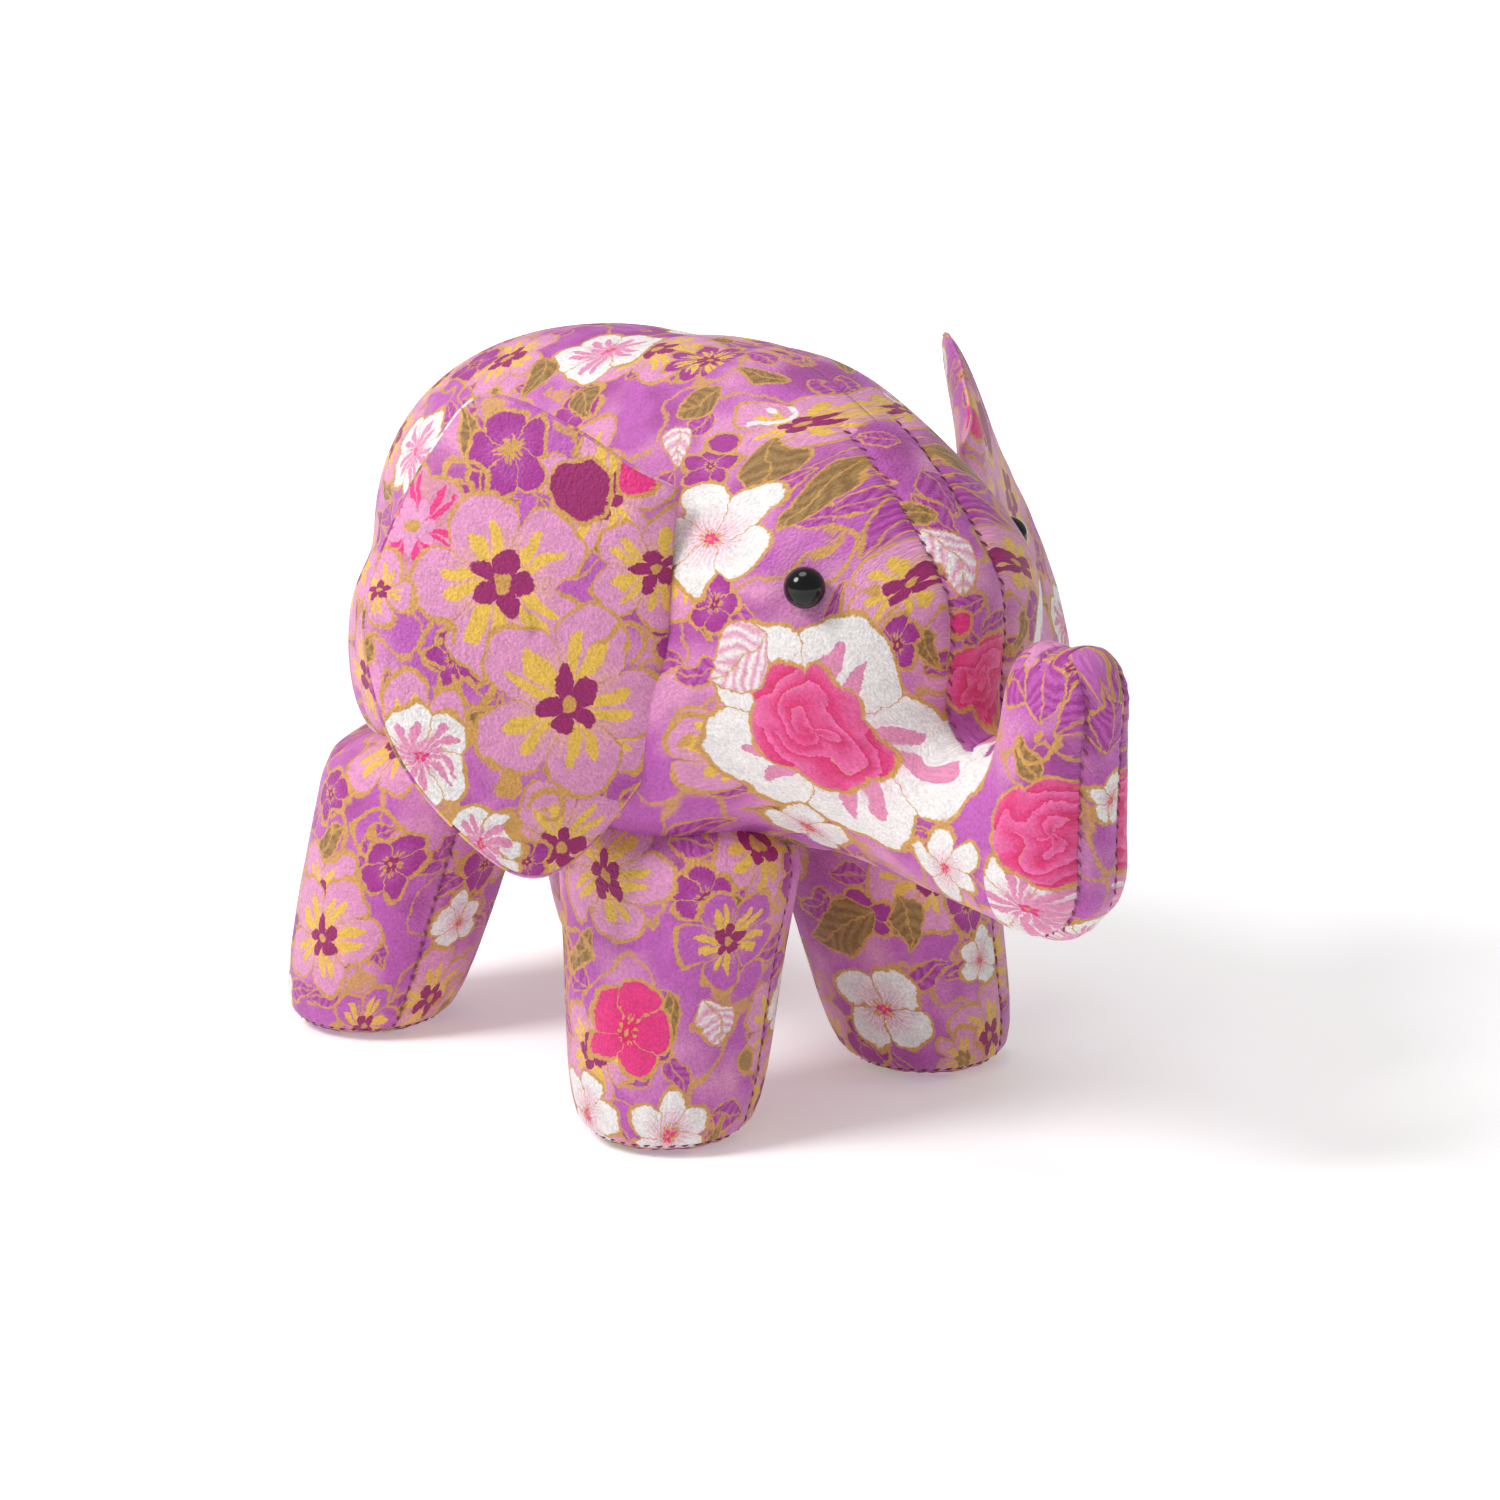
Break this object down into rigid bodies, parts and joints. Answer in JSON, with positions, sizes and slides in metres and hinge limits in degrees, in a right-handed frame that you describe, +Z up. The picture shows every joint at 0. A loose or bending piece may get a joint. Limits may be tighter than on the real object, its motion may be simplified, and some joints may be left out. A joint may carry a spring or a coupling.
{
  "type": "stuffed elephant toy",
  "caption": "Small standing stuffed elephant sewn from flower-printed crepe cloth, with wide padded ears, bead eyes and a raised trunk.",
  "frame": {"origin": "on the floor, under the middle of the overall length, tail to trunk, on the plane of symmetry", "axes": "+X towards the trunk, +Y to the elephant's own left, +Z up"},
  "size_m": [0.2102, 0.1746, 0.149],
  "materials": {
    "printed_cloth": "crepe weave with a soft satin sheen, printed with flowers in white, magenta, plum and gold",
    "fibre_filling": "matt white polyester fibre",
    "eye_bead": "polished black bead",
    "thread": "waxed sewing thread"
  },
  "bodies": {
    "body": {"side_panel_right": "printed_cloth", "side_panel_left": "printed_cloth", "forehead_strip": "printed_cloth", "trunk_root_strip": "printed_cloth", "belly_panel": "printed_cloth", "torso_filling": "fibre_filling", "head_filling": "fibre_filling", "eye_right": "eye_bead", "eye_left": "eye_bead", "eye_thread": "thread", "front_right_leg_outer_panel": "printed_cloth", "front_right_leg_inner_panel": "printed_cloth", "front_right_sole": "printed_cloth", "front_right_leg_filling": "fibre_filling", "front_left_leg_outer_panel": "printed_cloth", "front_left_leg_inner_panel": "printed_cloth", "front_left_sole": "printed_cloth", "front_left_leg_filling": "fibre_filling", "rear_right_leg_outer_panel": "printed_cloth", "rear_right_leg_inner_panel": "printed_cloth", "rear_right_sole": "printed_cloth", "rear_right_leg_filling": "fibre_filling", "rear_left_leg_outer_panel": "printed_cloth", "rear_left_leg_inner_panel": "printed_cloth", "rear_left_sole": "printed_cloth", "rear_left_leg_filling": "fibre_filling"},
    "trunk": {"trunk_panel_right": "printed_cloth", "trunk_panel_left": "printed_cloth", "trunk_strip": "printed_cloth", "trunk_filling": "fibre_filling"},
    "ear_right": {"ear_right_front_panel": "printed_cloth", "ear_right_padding": "fibre_filling", "ear_right_back_panel": "printed_cloth"},
    "ear_left": {"ear_left_front_panel": "printed_cloth", "ear_left_padding": "fibre_filling", "ear_left_back_panel": "printed_cloth"},
    "tail": {"tail_cover": "printed_cloth", "tail_cord": "fibre_filling"}
  },
  "joints": [
    {"name": "ear_right_flap", "type": "hinge", "parent": "body", "child": "ear_right", "pos_m": [0.02739, -0.038, 0.1054], "axis": [0, 0, 1], "range_deg": [-8, 28], "stiffness_Nm_per_rad": 0.02},
    {"name": "ear_left_flap", "type": "hinge", "parent": "body", "child": "ear_left", "pos_m": [0.02739, 0.038, 0.1054], "axis": [0, 0, -1], "range_deg": [-8, 28], "stiffness_Nm_per_rad": 0.02},
    {"name": "trunk_bend", "type": "hinge", "parent": "body", "child": "trunk", "pos_m": [0.09039, 0, 0.063], "axis": [0, 1, 0], "range_deg": [-6, 20], "stiffness_Nm_per_rad": 0.1},
    {"name": "tail_swing", "type": "hinge", "parent": "body", "child": "tail", "pos_m": [-0.10161, 0, 0.1078], "axis": [0, 1, 0], "range_deg": [0, 45], "stiffness_Nm_per_rad": 0.002}
  ]
}
